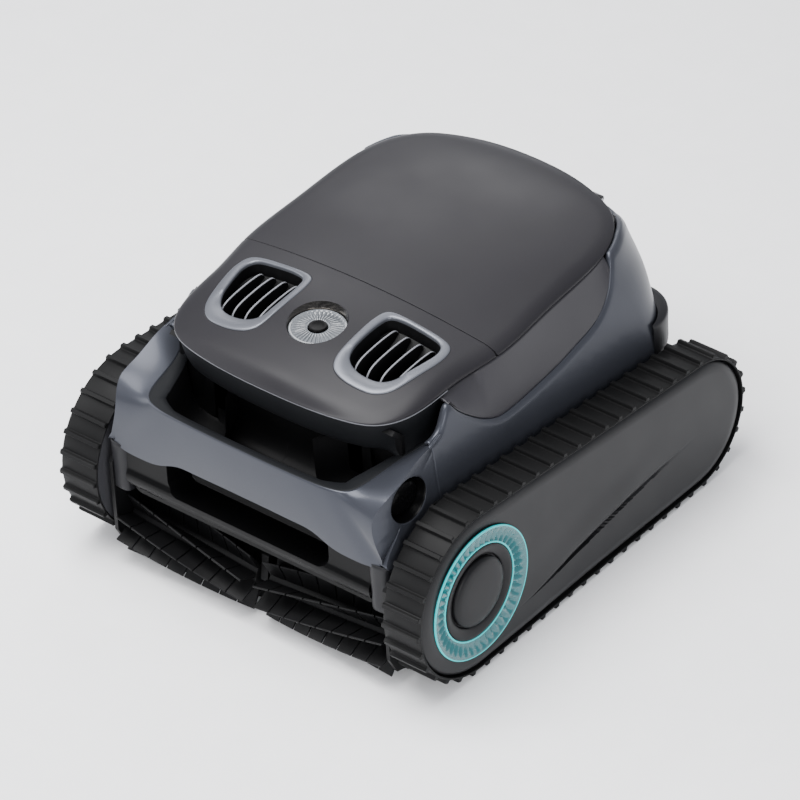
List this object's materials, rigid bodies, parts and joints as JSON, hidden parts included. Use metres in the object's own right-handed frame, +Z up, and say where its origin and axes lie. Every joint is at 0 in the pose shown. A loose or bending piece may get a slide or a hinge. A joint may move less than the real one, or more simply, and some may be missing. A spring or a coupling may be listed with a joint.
{
  "type": "pool cleaner",
  "caption": "Cordless robotic pool cleaner on two rubber tracks, with front brush rollers, jet nozzles, a carrying bar and a hinged lid over its filter basket.",
  "frame": {"origin": "on the floor, under the middle of the machine's box", "axes": "+Z up, -Y to the front with the brush, +X across the machine"},
  "size_m": [0.428, 0.4796, 0.283],
  "materials": {
    "painted_shell": "satin metallic paint on plastic",
    "satin_cover": "satin moulded plastic",
    "track_cover": "satin moulded plastic",
    "silver_frame": "satin silver paint",
    "black_plastic": "fine moulded grain",
    "chassis_plastic": "moulded grain",
    "belt_rubber": "matt moulded rubber",
    "brush_rubber": "matt soft rubber",
    "seal_rubber": "soft rubber",
    "wheel_plastic": "moulded",
    "teal_light": "clear tinted plastic",
    "clear_bezel": "clear plastic over a silver backing",
    "sensor_black": "polished",
    "basket_plastic": "moulded",
    "basket_mesh": "fine woven mesh",
    "steel": "plain"
  },
  "bodies": {
    "body": {"shell_rear": "painted_shell", "front_crossbar": "painted_shell", "shell_side_left": "painted_shell", "shell_side_right": "painted_shell", "front_arm_left": "painted_shell", "front_arm_right": "painted_shell", "nozzle_deck": "satin_cover", "side_panel_left": "satin_cover", "side_panel_right": "satin_cover", "track_cover_left": "track_cover", "track_cover_right": "track_cover", "hub_cap_left": "track_cover", "hub_cap_right": "track_cover", "nozzle_frame_left": "silver_frame", "nozzle_frame_right": "silver_frame", "front_insert": "black_plastic", "hand_well": "black_plastic", "rear_grip": "black_plastic", "brush_bracket": "black_plastic", "filter_well": "black_plastic", "charge_socket": "black_plastic", "nozzle_fins_left": "black_plastic", "nozzle_fins_right": "black_plastic", "side_frame_left": "black_plastic", "side_frame_right": "black_plastic", "pump_duct_left": "black_plastic", "pump_duct_right": "black_plastic", "chassis_tub": "chassis_plastic", "battery_box": "chassis_plastic", "control_box": "chassis_plastic", "pump_motor_left": "chassis_plastic", "pump_motor_right": "chassis_plastic", "drive_motor_left": "chassis_plastic", "drive_motor_right": "chassis_plastic", "track_belt_left": "belt_rubber", "track_belt_right": "belt_rubber", "lid_seal": "seal_rubber", "light_ring_left": "teal_light", "light_ring_right": "teal_light", "power_bezel": "clear_bezel", "sonar_sensors": "sensor_black", "basket_frame": "basket_plastic", "basket_handle": "basket_plastic", "basket_mesh": "basket_mesh", "chassis_screws": "steel", "lid_hinge_pins": "steel"},
    "left_wheel": {"drive_sprocket_left": "wheel_plastic", "drive_gear_left": "wheel_plastic"},
    "right_wheel": {"drive_sprocket_right": "wheel_plastic", "drive_gear_right": "wheel_plastic"},
    "left_idler": {"idler_wheel_left": "wheel_plastic"},
    "right_idler": {"idler_wheel_right": "wheel_plastic"},
    "left_brush": {"brush_roller_left": "brush_rubber"},
    "right_brush": {"brush_roller_right": "brush_rubber"},
    "left_impeller": {"impeller_left": "wheel_plastic"},
    "right_impeller": {"impeller_right": "wheel_plastic"},
    "lid": {"filter_lid": "satin_cover"},
    "button": {"power_button": "black_plastic"},
    "flap": {"inlet_flap": "black_plastic"},
    "charge_lid": {"charge_cap": "seal_rubber"}
  },
  "joints": [
    {"name": "left_wheel_spin", "type": "hinge", "parent": "body", "child": "left_wheel", "pos_m": [-0.186, -0.1514, 0.0886], "axis": [1, 0, 0], "continuous": true},
    {"name": "left_idler_spin", "type": "hinge", "parent": "body", "child": "left_idler", "pos_m": [-0.186, 0.1669, 0.0731], "axis": [1, 0, 0], "continuous": true},
    {"name": "left_brush_spin", "type": "hinge", "parent": "body", "child": "left_brush", "pos_m": [-0.08, -0.19479, 0.03689], "axis": [1, 0, 0], "continuous": true},
    {"name": "left_impeller_spin", "type": "hinge", "parent": "body", "child": "left_impeller", "pos_m": [-0.081, -0.105, 0.18], "axis": [0, 0, 1], "continuous": true},
    {"name": "right_wheel_spin", "type": "hinge", "parent": "body", "child": "right_wheel", "pos_m": [0.186, -0.1514, 0.0886], "axis": [1, 0, 0], "continuous": true},
    {"name": "right_idler_spin", "type": "hinge", "parent": "body", "child": "right_idler", "pos_m": [0.186, 0.1669, 0.0731], "axis": [1, 0, 0], "continuous": true},
    {"name": "right_brush_spin", "type": "hinge", "parent": "body", "child": "right_brush", "pos_m": [0.08, -0.19479, 0.03689], "axis": [1, 0, 0], "continuous": true},
    {"name": "right_impeller_spin", "type": "hinge", "parent": "body", "child": "right_impeller", "pos_m": [0.081, -0.105, 0.18], "axis": [0, 0, 1], "continuous": true},
    {"name": "lid_hinge", "type": "hinge", "parent": "body", "child": "lid", "pos_m": [0, 0.2, 0.257], "axis": [-1, 0, 0], "range_deg": [0, 70]},
    {"name": "button_press", "type": "slide", "parent": "body", "child": "button", "axis": [0, 0, 1], "range_m": [-0.0012, 0], "stiffness_N_per_m": 800, "springref_m": 0.0008},
    {"name": "flap_hinge", "type": "hinge", "parent": "body", "child": "flap", "pos_m": [0, 0.06, 0.1095], "axis": [-1, 0, 0], "range_deg": [0, 70]},
    {"name": "charge_cap_hinge", "type": "hinge", "parent": "body", "child": "charge_lid", "pos_m": [0.056, 0.2142, 0.23], "axis": [1, 0, 0], "range_deg": [0, 95]}
  ],
  "couplings": [
    {"joint": "left_idler_spin", "follows": "left_wheel_spin", "ratio": 1.2331},
    {"joint": "left_brush_spin", "follows": "left_wheel_spin", "ratio": -2},
    {"joint": "right_idler_spin", "follows": "right_wheel_spin", "ratio": 1.2331},
    {"joint": "right_brush_spin", "follows": "right_wheel_spin", "ratio": -2}
  ]
}
